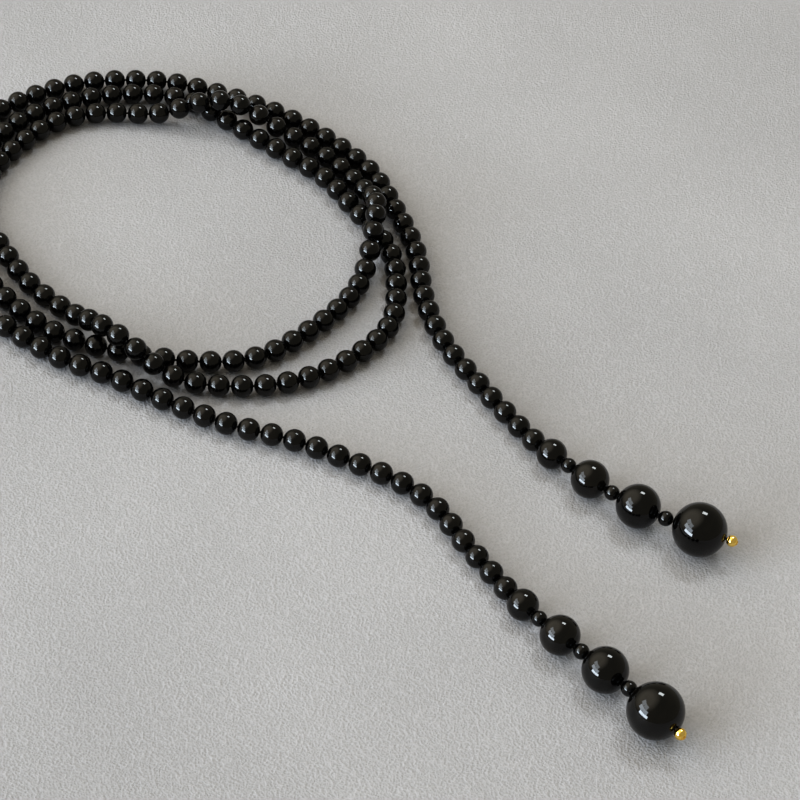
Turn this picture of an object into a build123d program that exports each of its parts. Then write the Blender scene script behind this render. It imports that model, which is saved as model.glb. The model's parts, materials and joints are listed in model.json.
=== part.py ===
"""Open-ended strand of polished black stone beads, coiled on a flat surface with two free tails.

Millimetres, +Z up. The strand lies on z = 0, and the origin is at the middle of its box, at the bottom.
Every bead is a drilled sphere of its own, threaded on a cord that ends in a crimp inside a metal ball.
"""
import math
import os

from build123d import *

os.makedirs("parts", exist_ok=True)

# ---------------------------------------------------------------- driving sizes
strand_bead_d = 6.0
spacer_d = 4.0
graded_d = (8.0, 10.0, 11.5, 14.0)  # the graduated beads of one end, from the strand outwards
bead_gap = strand_bead_d / 60  # play between neighbours on the cord
cord_d = 0.6
bore_play = 0.25  # radial room round the cord in a bead's hole
bore_chamfer = 0.15

tip_ball_d = 3.0
tip_droop = 0.6  # how far the ball at the very end hangs below the line of the last hole
crimp_wall = 0.32
crimp_play = 0.04  # radial room between cord and crimp, and between crimp and ball
crimp_inset = 0.5  # from each end of the ball to the crimp inside it

cord_break = 0.10  # clearance between two lengths of cord at a bending joint
least_turn = 0.6  # degrees: a cord point that turns less than this is left out
hump_reach = 22.0  # from a crossing's crest to where the upper strand lies flat again, at route_pitch

# The links of each free tail, in strand beads, from the coil outwards.
tail_links = {"a": (4, 4, 4, 4, 3), "b": (4, 3, 3)}
coil_beads = 172
beads_per_run = 13

# The line of the strand from tip a to tip b, seen from above. A third number lifts the strand over another.
# It is laid out for strand beads that are route_pitch apart, and grows with them.
route_pitch = 6.1
route = [
    (93.2, -99.4),
    (85.5, -92.0),
    (73.0, -81.5),
    (61.0, -72.5),
    (51.0, -64.0),
    (42.5, -54.5),
    (34.0, -45.5),
    (26.5, -36.0),
    (17.0, -29.5),
    (5.0, -25.5),
    (-12.5, -21.0),
    (-30.5, -19.5),
    (-48.0, -15.0),
    (-65.5, -9.0),
    (-77.5, -6.5),
    (-94.0, 1.5),
    (-108.0, 10.0),
    (-118.0, 22.0),
    (-122.5, 37.0),
    (-121.5, 52.0),
    (-119.5, 68.0),
    (-115.0, 81.5),
    (-108.5, 92.0),
    (-95.5, 103.0),
    (-78.5, 109.5),
    (-66.5, 109.0),
    (-57.0, 104.2),
    (-45.0, 97.5),
    (-34.0, 91.5),
    (-23.5, 85.5),
    (-15.5, 76.5),
    (-8.0, 68.5),
    (-0.5, 58.5),
    (3.0, 46.0),
    (4.0, 28.5),
    (-4.5, 12.5),
    (-18.0, 0.0),
    (-35.5, -6.0),
    (-50.0, -6.0),
    (-65.0, -0.3, 6.6),
    (-78.0, 10.0),
    (-93.0, 20.0),
    (-105.0, 34.0),
    (-112.5, 44.0),
    (-114.5, 57.0),
    (-112.5, 70.0),
    (-103.5, 88.0),
    (-92.0, 96.5),
    (-75.0, 100.3),
    (-57.0, 104.4, 6.3),
    (-40.0, 102.8),
    (-24.0, 94.2),
    (-15.0, 86.2),
    (-8.5, 77.0),
    (-6.5, 66.5, 6.3),
    (-6.0, 50.0),
    (-8.5, 36.5),
    (-17.0, 20.5),
    (-29.0, 6.5),
    (-46.0, 1.0),
    (-64.0, 0.3),
    (-82.5, 3.0),
    (-98.0, 13.0),
    (-107.0, 22.0),
    (-114.0, 34.0),
    (-122.0, 48.0, 6.5),
    (-127.0, 58.0),
    (-127.0, 75.0),
    (-118.0, 91.5),
    (-101.0, 108.0),
    (-78.5, 116.0),
    (-60.0, 115.0),
    (-42.5, 111.0),
    (-26.0, 103.0),
    (-11.5, 92.0),
    (-2.0, 77.0),
    (6.5, 60.5),
    (11.0, 43.0),
    (19.0, 26.0),
    (30.5, 12.0),
    (43.0, -1.5),
    (52.5, -10.5),
    (63.0, -18.0),
    (76.0, -25.5),
    (92.0, -31.0),
    (106.0, -34.0),
]
samples_per_span = 60
route_scale = (strand_bead_d + bead_gap) / route_pitch


# ---------------------------------------------------------------- the strand's line
def blend_point(p0, p1, p2, p3, t):
    """A point on the smooth curve through p1 and p2, with p0 and p3 as their outer neighbours."""
    weights = (
        -0.5 * t + t**2 - 0.5 * t**3,
        1 - 2.5 * t**2 + 1.5 * t**3,
        0.5 * t + 2 * t**2 - 1.5 * t**3,
        -0.5 * t**2 + 0.5 * t**3,
    )
    x = sum(w * p[0] for w, p in zip(weights, (p0, p1, p2, p3)))
    y = sum(w * p[1] for w, p in zip(weights, (p0, p1, p2, p3)))
    return x, y


def plan_curve():
    """The route as a dense list of (x, y, distance along), with the distance of each route point."""
    scaled = [(x * route_scale, y * route_scale) for x, y, *_ in route]
    ends = [scaled[0]] + scaled + [scaled[-1]]
    points = []
    for i in range(len(route) - 1):
        for k in range(samples_per_span):
            points.append(blend_point(*ends[i : i + 4], k / samples_per_span))
    points.append(scaled[-1])
    line = [(*points[0], 0.0)]
    for x, y in points[1:]:
        line.append((x, y, line[-1][2] + math.hypot(x - line[-1][0], y - line[-1][1])))
    stations = [line[i * samples_per_span][2] for i in range(len(route))]
    return line, stations


def hump(distance):
    """From 1 at a crest to 0 at the hump's reach, as two parabolas that meet halfway."""
    t = min(abs(distance) / (hump_reach * route_scale), 1.0)
    return 1 - 2 * t**2 if t < 0.5 else 2 * (1 - t) ** 2


def strand_height(along):
    """Height of the strand's line over the surface at a distance along the route."""
    return strand_bead_d / 2 + max([0.0] + [lift * hump(along - crest) for crest, lift in crests])


def end_heights():
    """Heights where the beads of one end meet, from the strand outwards.

    A graded bead rests on the surface; a smaller one leans halfway up to the next graded bead.
    """
    heights = [strand_bead_d / 2]
    for diameter in graded_d:
        heights.append((heights[-1] + diameter / 2) / 2)
        heights.append(diameter - heights[-1])
    heights.append(heights[-1] - tip_droop)
    return heights


def plan_point(along, line):
    """The route's (x, y) at a distance along it, by bisection of the dense list."""
    low, high = 0, len(line) - 1
    while high - low > 1:
        middle = (low + high) // 2
        if line[middle][2] <= along:
            low = middle
        else:
            high = middle
    t = (along - line[low][2]) / (line[high][2] - line[low][2])
    return tuple(a + (b - a) * t for a, b in zip(line[low][:2], line[high][:2]))


def next_joint(start, along, length, height, line):
    """The next point of the strand, a straight length away, and its distance along the route."""
    near, far = along, along + 1.2 * length
    for _ in range(40):
        middle = (near + far) / 2
        z = strand_height(middle) if height is None else height
        if math.dist(start, (*plan_point(middle, line), z)) < length:
            near = middle
        else:
            far = middle
    z = strand_height(far) if height is None else height
    return (*plan_point(far, line), z), far


def strand_joints(diameters, heights):
    """Points where neighbouring beads meet, from tip a to tip b. A height of None follows the route."""
    line, _ = plan_curve()
    joints = [(*line[0][:2], heights[0])]
    along = 0.0
    for diameter, height in zip(diameters, heights[1:]):
        point, along = next_joint(joints[-1], along, diameter + bead_gap, height, line)
        joints.append(point)
    return joints


def centred(joints, diameters):
    """The same points, moved so that the strand's box is centred on x = 0 and y = 0."""
    boxes = []
    for axis in (0, 1):
        middles = [(a[axis] + b[axis]) / 2 for a, b in zip(joints, joints[1:])]
        low = min(m - d / 2 for m, d in zip(middles, diameters))
        high = max(m + d / 2 for m, d in zip(middles, diameters))
        boxes.append((low + high) / 2)
    return [Vector(x - boxes[0], y - boxes[1], z) for x, y, z in joints]


crests = [(s, p[2] * route_scale) for s, p in zip(plan_curve()[1], route) if len(p) == 3]

# The beads of one end from the strand outwards: a spacer between each two graded beads, and the ball last.
end_d = [graded_d[0]]
for graded in graded_d[1:]:
    end_d += [spacer_d, graded]
end_d.append(tip_ball_d)
strand_beads = coil_beads + sum(tail_links["a"]) + sum(tail_links["b"])
bead_d = end_d[::-1] + [strand_bead_d] * strand_beads + end_d
rise = end_heights()[1:]
joint_z = rise[::-1] + [None] * (strand_beads - 1) + rise
joints = centred(strand_joints(bead_d, joint_z), bead_d)


# ---------------------------------------------------------------- beads
def bead_frame(i):
    """Plane at bead i's centre, with its Z along the bead's hole."""
    return Plane(origin=(joints[i] + joints[i + 1]) / 2, z_dir=joints[i + 1] - joints[i])


def drilled_ball(diameter, hole_d, chamfer_size):
    """A ball with a chamfered hole along Z, centred on the origin."""
    rim_r = hole_d / 2 + chamfer_size
    rim_z = math.sqrt((diameter / 2) ** 2 - rim_r**2)
    with BuildPart() as ball:
        with BuildSketch(Plane.XZ):
            with BuildLine():
                Polyline(
                    (rim_r, rim_z),
                    (hole_d / 2, rim_z - chamfer_size),
                    (hole_d / 2, chamfer_size - rim_z),
                    (rim_r, -rim_z),
                )
                ThreePointArc((rim_r, -rim_z), (diameter / 2, 0), (rim_r, rim_z))
            make_face()
        revolve(axis=Axis.Z)
    return ball.part


def write_beads(name, solid, first, count):
    """Writes the beads from number first on as one node of separate, identical solids."""
    with BuildPart() as beads:
        with Locations(*[bead_frame(i).location for i in range(first, first + count)]):
            add(solid)
    beads.part.label = name
    export_step(beads.part, f"parts/{name}.step")


# ---------------------------------------------------------------- cord
def turn_at(points, k):
    """Degrees by which a line of points turns at point k."""
    return (points[k] - points[k - 1]).get_angle(points[k + 1] - points[k])


def write_cord(name, first, last):
    """Writes the cord from joint first to joint last: straight in the beads, with an arc at each joint."""
    points = joints[first : last + 1]
    start_trim = (points[1] - points[0]).normalized() * cord_break / 2
    end_trim = (points[-2] - points[-1]).normalized() * cord_break / 2
    points = [points[0] + start_trim] + points[1:-1] + [points[-1] + end_trim]
    bends = [k for k in range(1, len(points) - 1) if turn_at(points, k) > least_turn]
    points = [points[0]] + [points[k] for k in bends] + [points[-1]]
    radii = []
    for k in range(1, len(points) - 1):
        shorter = min((points[k] - points[k - 1]).length, (points[k + 1] - points[k]).length)
        radii.append(0.45 * shorter / math.tan(math.radians(turn_at(points, k) / 2)))
    with BuildPart() as cord:
        with BuildLine() as path:
            if radii:
                FilletPolyline(*points, radius=radii)
            else:
                Line(points[0], points[1])
        with BuildSketch(Plane(origin=points[0], z_dir=points[1] - points[0])):
            Circle(cord_d / 2)
        sweep()
    cord.part.label = name
    export_step(cord.part, f"parts/{name}.step")
    length = sum(edge.length for edge in path.edges())
    filled = cord.part.volume / (math.pi * cord_d**2 / 4 * length)
    tightest = min(radii) if radii else math.inf
    print(f"{name}: {length:.1f} mm, tightest arc {tightest:.1f} mm, volume ratio {filled:.5f}")


# ---------------------------------------------------------------- tips
def write_tip(end, i):
    """Writes the metal ball at bead place i and the crimp that grips the cord inside it."""
    crimp_bore = cord_d + 2 * crimp_play
    crimp_d = crimp_bore + 2 * crimp_wall
    crimp_length = tip_ball_d - 2 * crimp_inset
    with BuildPart() as ball:
        with Locations(bead_frame(i).location):
            add(drilled_ball(tip_ball_d, crimp_d + 2 * crimp_play, bore_chamfer / 2))
    ball.part.label = f"tip_ball_{end}"
    export_step(ball.part, f"parts/{ball.part.label}.step")
    with BuildPart() as crimp:
        with BuildSketch(bead_frame(i).offset(-crimp_length / 2)):
            Circle(crimp_d / 2)
            Circle(crimp_bore / 2, mode=Mode.SUBTRACT)
        extrude(amount=crimp_length)
    crimp.part.label = f"tip_crimp_{end}"
    export_step(crimp.part, f"parts/{crimp.part.label}.step")


# ---------------------------------------------------------------- the strand, from tip a to tip b
bore_d = cord_d + 2 * bore_play
strand_bead = drilled_ball(strand_bead_d, bore_d, bore_chamfer)
spacer_bead = drilled_ball(spacer_d, bore_d, bore_chamfer)
end_names = ("bead_8mm", "spacer_inner", "bead_10mm", "spacer_middle", "bead_12mm", "spacer_outer", "bead_14mm")


def write_end(end, places, marks):
    """Writes one graduated end. places are its beads and marks its joints, from the strand outwards."""
    for name, diameter, place in zip(end_names, end_d, places):
        solid = spacer_bead if diameter == spacer_d else drilled_ball(diameter, bore_d, bore_chamfer)
        write_beads(f"{name}_{end}", solid, place, 1)
    write_tip(end, places[-1])
    for number, (near, far) in enumerate(((0, 1), (1, 3), (3, 5), (5, 8)), start=1):
        write_cord(f"cord_end_{end}_{number}", *sorted((marks[near], marks[far])))


def write_tail(end, start, step):
    """Writes the links of one free tail from the coil outwards, and returns its outer joint."""
    for number, count in enumerate(tail_links[end], start=1):
        stop = start + step * count
        first = min(start, stop)
        write_beads(f"tail_{end}_beads_{number}", strand_bead, first, count)
        write_cord(f"cord_tail_{end}_{number}", first, first + count)
        start = stop
    return start


coil_start = len(end_d) + sum(tail_links["a"])
coil_end = coil_start + coil_beads
for number, first in enumerate(range(coil_start, coil_end, beads_per_run), start=1):
    write_beads(f"coil_beads_{number:02d}", strand_bead, first, min(beads_per_run, coil_end - first))
write_cord("cord_coil", coil_start, coil_end)

outer_a = write_tail("a", coil_start, -1)
write_end("a", [outer_a - 1 - k for k in range(len(end_d))], [outer_a - k for k in range(len(end_d) + 1)])
outer_b = write_tail("b", coil_end, 1)
write_end("b", [outer_b + k for k in range(len(end_d))], [outer_b + k for k in range(len(end_d) + 1)])
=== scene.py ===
"""The looks of the open strand of black stone beads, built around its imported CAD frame.

Everything is in metres and in the frame's own axes. Each bead is a turned and drilled ball of its own,
which stands where the frame has that bead. Bead sizes, places and holes are read from the frame's meshes.
The cord keeps the frame's own meshes and gets a material.
"""

import json
import math
import random

import bmesh
import bpy
import numpy as np
from mathutils import Matrix, Vector

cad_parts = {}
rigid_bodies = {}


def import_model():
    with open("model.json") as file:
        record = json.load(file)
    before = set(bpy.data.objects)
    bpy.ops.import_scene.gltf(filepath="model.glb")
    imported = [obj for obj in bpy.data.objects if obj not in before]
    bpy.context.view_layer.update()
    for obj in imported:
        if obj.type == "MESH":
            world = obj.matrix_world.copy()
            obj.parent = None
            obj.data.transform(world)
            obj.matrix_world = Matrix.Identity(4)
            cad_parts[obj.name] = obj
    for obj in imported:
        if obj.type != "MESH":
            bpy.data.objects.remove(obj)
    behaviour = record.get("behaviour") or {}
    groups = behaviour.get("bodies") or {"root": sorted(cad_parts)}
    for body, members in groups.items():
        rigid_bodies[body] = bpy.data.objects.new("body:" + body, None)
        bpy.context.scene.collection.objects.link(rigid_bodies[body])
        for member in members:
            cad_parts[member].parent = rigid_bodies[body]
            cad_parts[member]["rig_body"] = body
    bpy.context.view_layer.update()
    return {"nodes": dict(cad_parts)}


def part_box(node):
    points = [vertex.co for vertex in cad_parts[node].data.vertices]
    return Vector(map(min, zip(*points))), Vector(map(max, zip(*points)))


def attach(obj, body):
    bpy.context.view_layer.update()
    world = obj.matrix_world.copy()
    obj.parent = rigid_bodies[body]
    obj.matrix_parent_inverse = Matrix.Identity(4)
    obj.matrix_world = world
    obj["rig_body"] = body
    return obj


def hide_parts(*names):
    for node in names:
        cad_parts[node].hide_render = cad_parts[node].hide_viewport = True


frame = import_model()
nodes = frame["nodes"]
MM = 0.001

# ---------------------------------------------------------------- camera
CAMERA_PLACE = Vector((54.58, -537.54, 505.17)) * MM
CAMERA_TILT = math.radians(46.507)  # from straight down
CAMERA_YAW = math.radians(3.145)
CAMERA_ROLL = math.radians(7.992)
CAMERA_LENS = 125.69  # millimetres
SENSOR_WIDTH = 36.0  # millimetres


def camera_axes():
    """The camera's rotation: yaw and tilt in the world, then the roll about its own line of sight."""
    turn = Matrix.Rotation(CAMERA_YAW, 3, "Z") @ Matrix.Rotation(CAMERA_TILT, 3, "X")
    return turn @ Matrix.Rotation(CAMERA_ROLL, 3, "Z")


def make_camera():
    data = bpy.data.cameras.new("camera")
    data.sensor_width = SENSOR_WIDTH
    data.lens = CAMERA_LENS
    data.clip_start = 0.01
    data.clip_end = 50.0
    camera = bpy.data.objects.new("camera", data)
    camera.matrix_world = Matrix.Translation(CAMERA_PLACE) @ camera_axes().to_4x4()
    bpy.context.scene.collection.objects.link(camera)
    bpy.context.scene.camera = camera


# ---------------------------------------------------------------- node helpers
class Nodes:
    """A short way to write a node tree.

    add() makes a node and sets or links its inputs, by name, or by place as i0 and i1.
    """

    def __init__(self, tree):
        self.tree = tree
        tree.nodes.clear()

    def add(self, kind, settings=(), **inputs):
        node = self.tree.nodes.new(kind)
        for name, value in dict(settings).items():
            setattr(node, name, value)
        for name, value in inputs.items():
            by_place = name[0] == "i" and name[1:].isdigit()
            socket = node.inputs[int(name[1:]) if by_place else name]
            if isinstance(value, bpy.types.NodeSocket):
                self.tree.links.new(value, socket)
            else:
                socket.default_value = value
        return node

    def noise(self, vector, scale, detail=2.0, roughness=0.5, distortion=0.0):
        node = self.add("ShaderNodeTexNoise", Vector=vector, Scale=scale, Detail=detail, Roughness=roughness)
        node.inputs["Distortion"].default_value = distortion
        return node.outputs["Fac"]

    def remap(self, value, low, high, to_low, to_high):
        node = self.add("ShaderNodeMapRange", Value=value)
        for name, number in zip(("From Min", "From Max", "To Min", "To Max"), (low, high, to_low, to_high)):
            node.inputs[name].default_value = number
        return node.outputs["Result"]

    def ramp(self, value, *stops):
        node = self.add("ShaderNodeValToRGB", Fac=value)
        elements = node.color_ramp.elements
        while len(elements) < len(stops):
            elements.new(0.5)
        for element, (position, colour) in zip(elements, stops):
            element.position = position
            element.color = (*colour, 1.0)
        return node.outputs["Color"]

    def math(self, operation, a, b):
        return self.add("ShaderNodeMath", {"operation": operation}, i0=a, i1=b).outputs["Value"]

    def bump(self, height, strength, distance, normal=None):
        node = self.add("ShaderNodeBump", Height=height, Strength=strength, Distance=distance)
        if normal is not None:
            self.tree.links.new(normal, node.inputs["Normal"])
        return node.outputs["Normal"]


def new_material(name):
    material = bpy.data.materials.new(name)
    material.use_nodes = True
    return material, Nodes(material.node_tree)


def finish_material(build, colour, roughness, normal, **constants):
    """Ends a node tree in one Principled shader. constants are the same all over the surface."""
    shader = build.add("ShaderNodeBsdfPrincipled")
    for name, socket in (("Base Color", colour), ("Roughness", roughness), ("Normal", normal)):
        build.tree.links.new(socket, shader.inputs[name])
    for name, value in constants.items():
        shader.inputs[name.replace("_", " ")].default_value = value
    build.add("ShaderNodeOutputMaterial", Surface=shader.outputs["BSDF"])


# ---------------------------------------------------------------- materials
def stone_material(name, polish, haze):
    """Polished near-black stone: faint brown clouding, a tint for each bead, and fine tumbling marks.

    polish is the roughness of its smoothest spots, and haze is how much rougher the dullest ones are.
    """
    material, build = new_material(name)
    place = build.add("ShaderNodeTexCoord").outputs["Object"]
    cloud = build.noise(place, 260.0, 3.0, 0.55, 0.6)
    grain = build.noise(place, 1500.0, 4.0, 0.6)
    scuff = build.noise(place, 5200.0, 2.0, 0.5)
    tint = build.add("ShaderNodeAttribute", {"attribute_name": "bead_tint"}).outputs["Fac"]
    mixed = build.math("ADD", build.math("MULTIPLY", cloud, 0.7), build.math("MULTIPLY", tint, 0.3))
    colour = build.ramp(
        mixed,
        (0.30, (0.0012, 0.0012, 0.0013)),
        (0.52, (0.0024, 0.0022, 0.0020)),
        (0.74, (0.0065, 0.0052, 0.0040)),
    )
    roughness = build.remap(build.math("ADD", grain, scuff), 0.6, 1.4, polish, polish + haze)
    normal = build.bump(scuff, 0.05, 0.00002, build.bump(grain, 0.10, 0.00004))
    finish_material(build, colour, roughness, normal, IOR=1.53)
    return material


def gold_material():
    """Polished gold plate: slight warm variation, and fine handling marks."""
    material, build = new_material("gold_polish")
    place = build.add("ShaderNodeTexCoord").outputs["Object"]
    cloud = build.noise(place, 900.0, 3.0, 0.5)
    marks = build.noise(place, 4200.0, 3.0, 0.6)
    colour = build.ramp(cloud, (0.3, (1.0, 0.67, 0.14)), (0.7, (1.0, 0.79, 0.30)))
    roughness = build.remap(marks, 0.3, 0.7, 0.06, 0.14)
    normal = build.bump(marks, 0.12, 0.00003)
    finish_material(build, colour, roughness, normal, Metallic=1.0)
    return material


def crimp_material():
    """The crimp's gold plate, duller and more marked than the ball's, from the pliers that pressed it."""
    material, build = new_material("crimp_gold")
    place = build.add("ShaderNodeTexCoord").outputs["Object"]
    marks = build.noise(place, 2600.0, 4.0, 0.6)
    colour = build.ramp(marks, (0.3, (0.80, 0.47, 0.09)), (0.7, (1.0, 0.68, 0.20)))
    roughness = build.remap(marks, 0.3, 0.7, 0.16, 0.32)
    finish_material(build, colour, roughness, build.bump(marks, 0.3, 0.00004), Metallic=1.0)
    return material


def thread_material():
    """Black waxed thread: a dull fibrous surface with lighter fuzz on its high spots."""
    material, build = new_material("waxed_thread")
    place = build.add("ShaderNodeTexCoord").outputs["Object"]
    fibre = build.noise(place, 3600.0, 4.0, 0.65, 1.5)
    colour = build.ramp(fibre, (0.35, (0.006, 0.006, 0.006)), (0.75, (0.035, 0.032, 0.030)))
    roughness = build.remap(fibre, 0.3, 0.7, 0.45, 0.75)
    finish_material(build, colour, roughness, build.bump(fibre, 0.6, 0.00008))
    return material


def floor_material():
    """Pale grey surface with a fine pebbled grain and slow, faint clouding."""
    material, build = new_material("pale_grain")
    place = build.add("ShaderNodeTexCoord").outputs["Object"]
    cloud = build.noise(place, 9.0, 3.0, 0.5)
    fine = build.noise(place, 2300.0, 2.0, 0.6)
    pebble = build.add("ShaderNodeTexVoronoi", Vector=place, Scale=1500.0).outputs["Distance"]
    grain = build.math("ADD", build.math("MULTIPLY", pebble, 0.6), build.math("MULTIPLY", fine, 0.6))
    tone = build.math("ADD", build.math("MULTIPLY", cloud, 0.5), build.math("MULTIPLY", grain, 0.5))
    colour = build.ramp(tone, (0.25, (0.322, 0.317, 0.329)), (0.75, (0.464, 0.457, 0.475)))
    roughness = build.remap(grain, 0.2, 0.9, 0.62, 0.85)
    finish_material(build, colour, roughness, build.bump(grain, 0.8, 0.00027))
    return material


# ---------------------------------------------------------------- beads
POINT_DIGITS = 7  # points that agree to this many decimals of a metre are one
FIT_TOLERANCES = (0.2, 0.05, 0.01, 0.004, 0.004)  # shares of the radius
INSIDE_SHARE = 0.992  # a point nearer to the centre than this share of the radius is on the hole's wall
WALL_RINGS = (-0.9, -0.45, 0.0, 0.45, 0.9)  # heights on the hole's wall, as shares of its half length
WEAR_WAVES = 4  # how many shallow waves take a bead out of round
WAVE_STRENGTHS = (0.4, 1.0)
WAVE_COUNTS = (2, 3)  # crests of a wave once around the bead, through its pole
EASE_SHARE = 0.11  # rounding of a hole's rim on a bead of EASE_BEAD_RADIUS, as a share of that radius
EASE_BEAD_RADIUS = 3 * MM
RIM_STEPS = 4
RIM_HEIGHT = 0.92  # height of a rim's rounding, as a share of its width


def islands(node):
    """The separate solids of a CAD node, each as an array of its points."""
    mesh = nodes[node].data
    points = np.empty(len(mesh.vertices) * 3)
    mesh.vertices.foreach_get("co", points)
    points = points.reshape(-1, 3)
    places, merged = np.unique(np.round(points, POINT_DIGITS), axis=0, return_inverse=True)
    edges = np.empty(len(mesh.edges) * 2, dtype=np.int64)
    mesh.edges.foreach_get("vertices", edges)
    edges = merged.reshape(-1)[edges].reshape(-1, 2)
    label = np.arange(len(places))
    while True:
        lower = np.minimum(label[edges[:, 0]], label[edges[:, 1]])
        spread = label.copy()
        np.minimum.at(spread, edges[:, 0], lower)
        np.minimum.at(spread, edges[:, 1], lower)
        spread = spread[spread]
        if (spread == label).all():
            break
        label = spread
    return [places[label == name] for name in np.unique(label)]


def measure_ball(points):
    """Centre, hole direction, radius and hole radius of one drilled ball.

    A sphere is fitted again and again to the points near the last one, so the hole's points drop out.
    """
    kept = points
    for tolerance in FIT_TOLERANCES:
        system = np.c_[2 * kept, np.ones(len(kept))]
        solved = np.linalg.lstsq(system, (kept**2).sum(1), rcond=None)[0]
        centre = solved[:3]
        radius = math.sqrt(solved[3] + centre @ centre)
        distance = np.linalg.norm(points - centre, axis=1)
        kept = points[np.abs(distance - radius) < tolerance * radius]
    inner = points[distance < INSIDE_SHARE * radius] - centre
    hole = np.linalg.svd(inner, full_matrices=False)[2][0]
    across = np.linalg.norm(inner - np.outer(inner @ hole, hole), axis=1)
    return centre, hole, radius, across.min()


THREAD_RADIUS = 0.3 * MM
CRIMP_PLAY = 0.03 * MM  # around the crimp in its ball, and around the thread in the crimp
CAP_RISE = 0.07 * MM  # how far the middle of the crimp's closed end stands over the ball
CAP_PLAY = 0.01 * MM  # between the cord's end and the bottom of the crimp's bore
CRIMP_LIP = 0.06 * MM  # bevel of its inner end
CRIMP_SEGMENTS = 40
DOME_STEPS = 8
WELD_DISTANCE = 0.0001 * MM


def bead_profile(radius, hole, rings):
    """Outline of a drilled bead as (distance from the hole's line, height): up the hole and round."""
    ease = EASE_SHARE * math.sqrt(radius * EASE_BEAD_RADIUS)  # how far the polished rim is rounded back
    rim = hole + ease
    top = math.sqrt(radius**2 - rim**2)
    outline = [(hole, height * (top - ease)) for height in WALL_RINGS]
    wall_points = len(outline)
    for step in range(RIM_STEPS + 1):
        angle = math.radians(90 * step / RIM_STEPS)
        height = top - ease + ease * math.sin(angle) * RIM_HEIGHT
        outline.append((hole + ease * (1 - math.cos(angle)), height))
    rim_points = outline[wall_points:]
    start = math.atan2(rim, top)
    for step in range(1, rings):
        angle = start + (math.pi - 2 * start) * step / rings
        outline.append((radius * math.sin(angle), radius * math.cos(angle)))
    for distance, height in reversed(rim_points):
        outline.append((distance, -height))
    return outline


def turned(outline, segments):
    """Points and faces of a closed outline turned about Z."""
    angles = np.linspace(0, 2 * math.pi, segments, endpoint=False)
    shape = np.array(outline)
    points = np.stack(
        [
            np.outer(shape[:, 0], np.cos(angles)),
            np.outer(shape[:, 0], np.sin(angles)),
            np.outer(shape[:, 1], np.ones(segments)),
        ],
        axis=2,
    ).reshape(-1, 3)
    faces = []
    count = len(outline)
    for ring in range(count):
        above = (ring + 1) % count
        for side in range(segments):
            next_side = (side + 1) % segments
            faces.append(
                (
                    ring * segments + side,
                    above * segments + side,
                    above * segments + next_side,
                    ring * segments + next_side,
                )
            )
    return points, np.array(faces)


def out_of_round(points, amount, dice):
    """Hand-ground beads are a little out of round: shallow waves that only ever take stone away."""
    directions = points / np.maximum(np.linalg.norm(points, axis=1)[:, None], 1e-9)
    wave = np.zeros(len(points))
    for _ in range(WEAR_WAVES):
        pole = np.array([dice.gauss(0, 1) for _ in range(3)])
        pole /= np.linalg.norm(pole)
        angle = np.arccos(np.clip(directions @ pole, -1, 1))
        wave += dice.uniform(*WAVE_STRENGTHS) * np.cos(dice.choice(WAVE_COUNTS) * angle)
    wave = (wave - wave.max()) / (2 * WEAR_WAVES)
    return points * (1 + amount * wave)[:, None]


def bead_piece(node, name, material, finish):
    """One piece with every bead of a CAD node. It stands for that node and rides on its body."""
    segments, rings, unevenness = finish
    dice = random.Random(name)
    all_points, all_faces, all_tints = [], [], []
    first = 0
    for island in islands(node):
        centre, hole, radius, bore = measure_ball(island)
        points, faces = turned(bead_profile(radius, bore, rings), segments)
        points = out_of_round(points, unevenness, dice)
        turn = Matrix.Rotation(dice.uniform(0, 2 * math.pi), 3, "Z")
        axes = np.array(Vector(hole).to_track_quat("Z", "Y").to_matrix() @ turn)
        all_points.append(points @ axes.T + centre)
        all_faces.append(faces + first)
        all_tints.append(np.full(len(points), dice.random()))
        first += len(points)
    mesh = bpy.data.meshes.new(name)
    mesh.from_pydata(np.concatenate(all_points).tolist(), [], np.concatenate(all_faces).tolist())
    mesh.attributes.new("bead_tint", "FLOAT", "POINT").data.foreach_set("value", np.concatenate(all_tints))
    mesh.shade_smooth()
    mesh.materials.append(material)
    piece = bpy.data.objects.new(name, mesh)
    bpy.context.scene.collection.objects.link(piece)
    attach(piece, nodes[node]["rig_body"])
    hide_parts(node)


def make_beads():
    """Each kind of bead gets its material and (segments, rings, unevenness) for its mesh; the slot named in
    each row is not used.
    """
    strand = stone_material("strand_onyx", 0.07, 0.10)
    graded = stone_material("graded_onyx", 0.03, 0.05)
    spacer = stone_material("spacer_onyx", 0.05, 0.08)
    gold = gold_material()
    kinds = (
        ("coil_beads", strand, "strand_stone", (40, 20, 0.020)),
        ("tail_", strand, "strand_stone", (40, 20, 0.020)),
        ("bead_", graded, "large_stone", (88, 44, 0.006)),
        ("spacer_", spacer, "spacer_stone", (40, 20, 0.015)),
        ("tip_ball", gold, "gold_ball", (48, 24, 0.010)),
    )
    for node in sorted(nodes):
        for start, material, slot, finish in kinds:
            if node.startswith(start):
                bead_piece(node, node + "_finished", material, finish)


def weld(mesh):
    """Joins the points that a turned outline repeats on its axis, and drops edges left without a face."""
    shape = bmesh.new()
    shape.from_mesh(mesh)
    bmesh.ops.remove_doubles(shape, verts=shape.verts, dist=WELD_DISTANCE)
    bare = [edge for edge in shape.edges if not edge.link_faces]
    bmesh.ops.delete(shape, geom=bare, context="EDGES")
    shape.to_mesh(mesh)
    shape.free()


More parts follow.
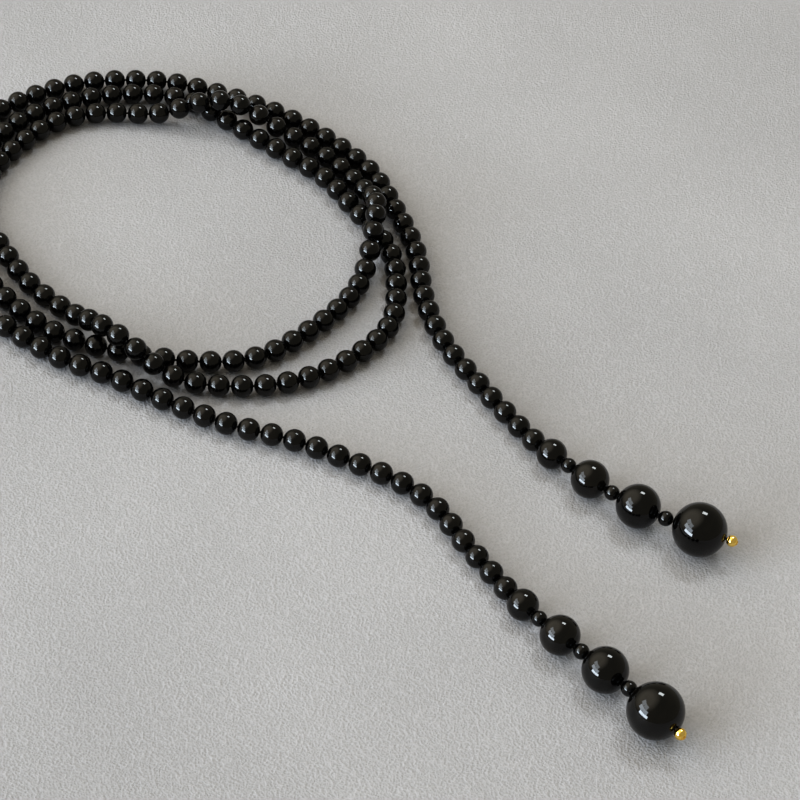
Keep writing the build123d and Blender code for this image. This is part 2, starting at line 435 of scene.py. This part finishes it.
def crimp_piece(node, material):
    """A pressed crimp that fills its tip ball's hole, bevelled inside, closed and domed outside."""
    end = node[-1]
    low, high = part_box("bead_14mm_" + end)
    inner_bead = (low + high) / 2
    ball_centre, hole, ball_radius, bore = measure_ball(islands("tip_ball_" + end)[0])
    outward = Vector(hole)
    if outward.dot(Vector(ball_centre) - inner_bead) < 0:
        outward = -outward
    radius = bore - CRIMP_PLAY
    face = math.sqrt(ball_radius**2 - radius**2)
    tube = THREAD_RADIUS + CRIMP_PLAY
    bottom = ball_radius + CAP_PLAY
    crown = ball_radius + CAP_RISE
    outline = [(tube, -face), (tube, 0.0), (tube, bottom), (0.0, bottom)]
    for step in range(DOME_STEPS + 1):
        share = step / DOME_STEPS
        outline.append((radius * share, crown - (crown - face) * share**3))
    outline += [(radius, 0.0), (radius, CRIMP_LIP - face), (radius - CRIMP_LIP, -face)]
    points, faces = turned(outline, CRIMP_SEGMENTS)
    mesh = bpy.data.meshes.new(node + "_closed")
    axes = np.array(outward.to_track_quat("Z", "Y").to_matrix())
    mesh.from_pydata((points @ axes.T + ball_centre).tolist(), [], faces.tolist())
    weld(mesh)
    mesh.shade_smooth()
    mesh.materials.append(material)
    piece = bpy.data.objects.new(node + "_closed", mesh)
    bpy.context.scene.collection.objects.link(piece)
    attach(piece, nodes[node]["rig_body"])
    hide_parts(node)


def make_tips_and_cord():
    """The crimps get closed outer ends; the cord is shown as the frame has it, with a finish of its own."""
    gold = crimp_material()
    thread = thread_material()
    for node, piece in nodes.items():
        if node.startswith("tip_crimp"):
            crimp_piece(node, gold)
        if node.startswith("cord_"):
            piece.data.materials[0] = thread


# ---------------------------------------------------------------- stage and light
FLOOR_SIZE = 12.0
LIGHT_DISTANCE = 3.0
LAMP_COLOUR = (0.93, 0.98, 1.0)
WINDOW_COLOUR = (0.80, 0.90, 1.0)
ROOM_COLOUR = (0.300, 0.285, 0.240)
PATCH_COLOUR = (1.10, 1.02, 0.86)
PATCH_DIRECTION = (-100, 48)  # azimuth and elevation of the middle of the bright patch
PATCH_INNER = math.radians(24)  # full brightness as far out as this
PATCH_OUTER = math.radians(50)  # and none past this


def make_floor():
    half = FLOOR_SIZE / 2
    mesh = bpy.data.meshes.new("floor")
    corners = [(-half, -half, 0), (half, -half, 0), (half, half, 0), (-half, half, 0)]
    mesh.from_pydata(corners, [], [(0, 1, 2, 3)])
    mesh.materials.append(floor_material())
    floor = bpy.data.objects.new("floor", mesh)
    bpy.context.scene.collection.objects.link(floor)


def toward(azimuth, elevation):
    """A direction in degrees: azimuth 0 is the camera's side (-Y) and 90 is +X."""
    a, e = math.radians(azimuth), math.radians(elevation)
    return Vector((math.sin(a) * math.cos(e), -math.cos(a) * math.cos(e), math.sin(e)))


def area_light(name, azimuth, elevation, width, height, radiance, colour):
    """A soft rectangle of light, its width and height in radians as seen from the object."""
    data = bpy.data.lights.new(name, "AREA")
    data.shape = "RECTANGLE"
    data.size = width * LIGHT_DISTANCE
    data.size_y = height * LIGHT_DISTANCE
    data.color = colour
    data.energy = radiance * math.pi * data.size * data.size_y
    light = bpy.data.objects.new(name, data)
    place = toward(azimuth, elevation)
    light.location = place * LIGHT_DISTANCE
    light.rotation_euler = place.to_track_quat("Z", "Y").to_euler()
    light.visible_camera = False
    bpy.context.scene.collection.objects.link(light)


def make_lights():
    """A small lamp high behind the strand, and a tall window on the left, brightest in its lowest panes."""
    area_light(
        "overhead", azimuth=162, elevation=59, width=0.29, height=0.21, radiance=10.0, colour=LAMP_COLOUR
    )
    rows = (  # name, elevation, height, azimuths of its panes, width of a pane, radiance
        ("low", 10.5, 0.19, (-57, -37), 0.34, 14.0),
        ("middle", 24, 0.26, (-71, -46), 0.39, 4.8),
        ("high", 40, 0.27, (-83, -57), 0.33, 2.6),
    )
    for row, elevation, height, azimuths, width, radiance in rows:
        for column, azimuth in enumerate(azimuths):
            name = f"window_{row}_{column}"
            area_light(name, azimuth, elevation, width, height, radiance, WINDOW_COLOUR)


def make_world():
    """A dim, warm room with one broad bright patch, high on the left, as from a lit wall and ceiling."""
    world = bpy.data.worlds.new("room")
    world.use_nodes = True
    bpy.context.scene.world = world
    build = Nodes(world.node_tree)
    direction = build.add("ShaderNodeTexCoord").outputs["Generated"]
    middle = toward(*PATCH_DIRECTION)
    patch = build.add("ShaderNodeVectorMath", {"operation": "DOT_PRODUCT"}, i0=direction, i1=middle)
    outside, inside = math.cos(PATCH_OUTER), math.cos(PATCH_INNER)
    edge = build.remap(patch.outputs["Value"], outside, inside, 0.0, 1.0)
    colour = build.ramp(edge, (0.0, ROOM_COLOUR), (1.0, PATCH_COLOUR))
    light = build.add("ShaderNodeBackground", Color=colour, Strength=1.0)
    build.add("ShaderNodeOutputWorld", Surface=light.outputs["Background"])
    bpy.context.scene.view_settings.view_transform = "Standard"
    bpy.context.scene.view_settings.look = "High Contrast"


# ---------------------------------------------------------------- the scene
make_camera()
make_beads()
make_tips_and_cord()
make_floor()
make_lights()
make_world()
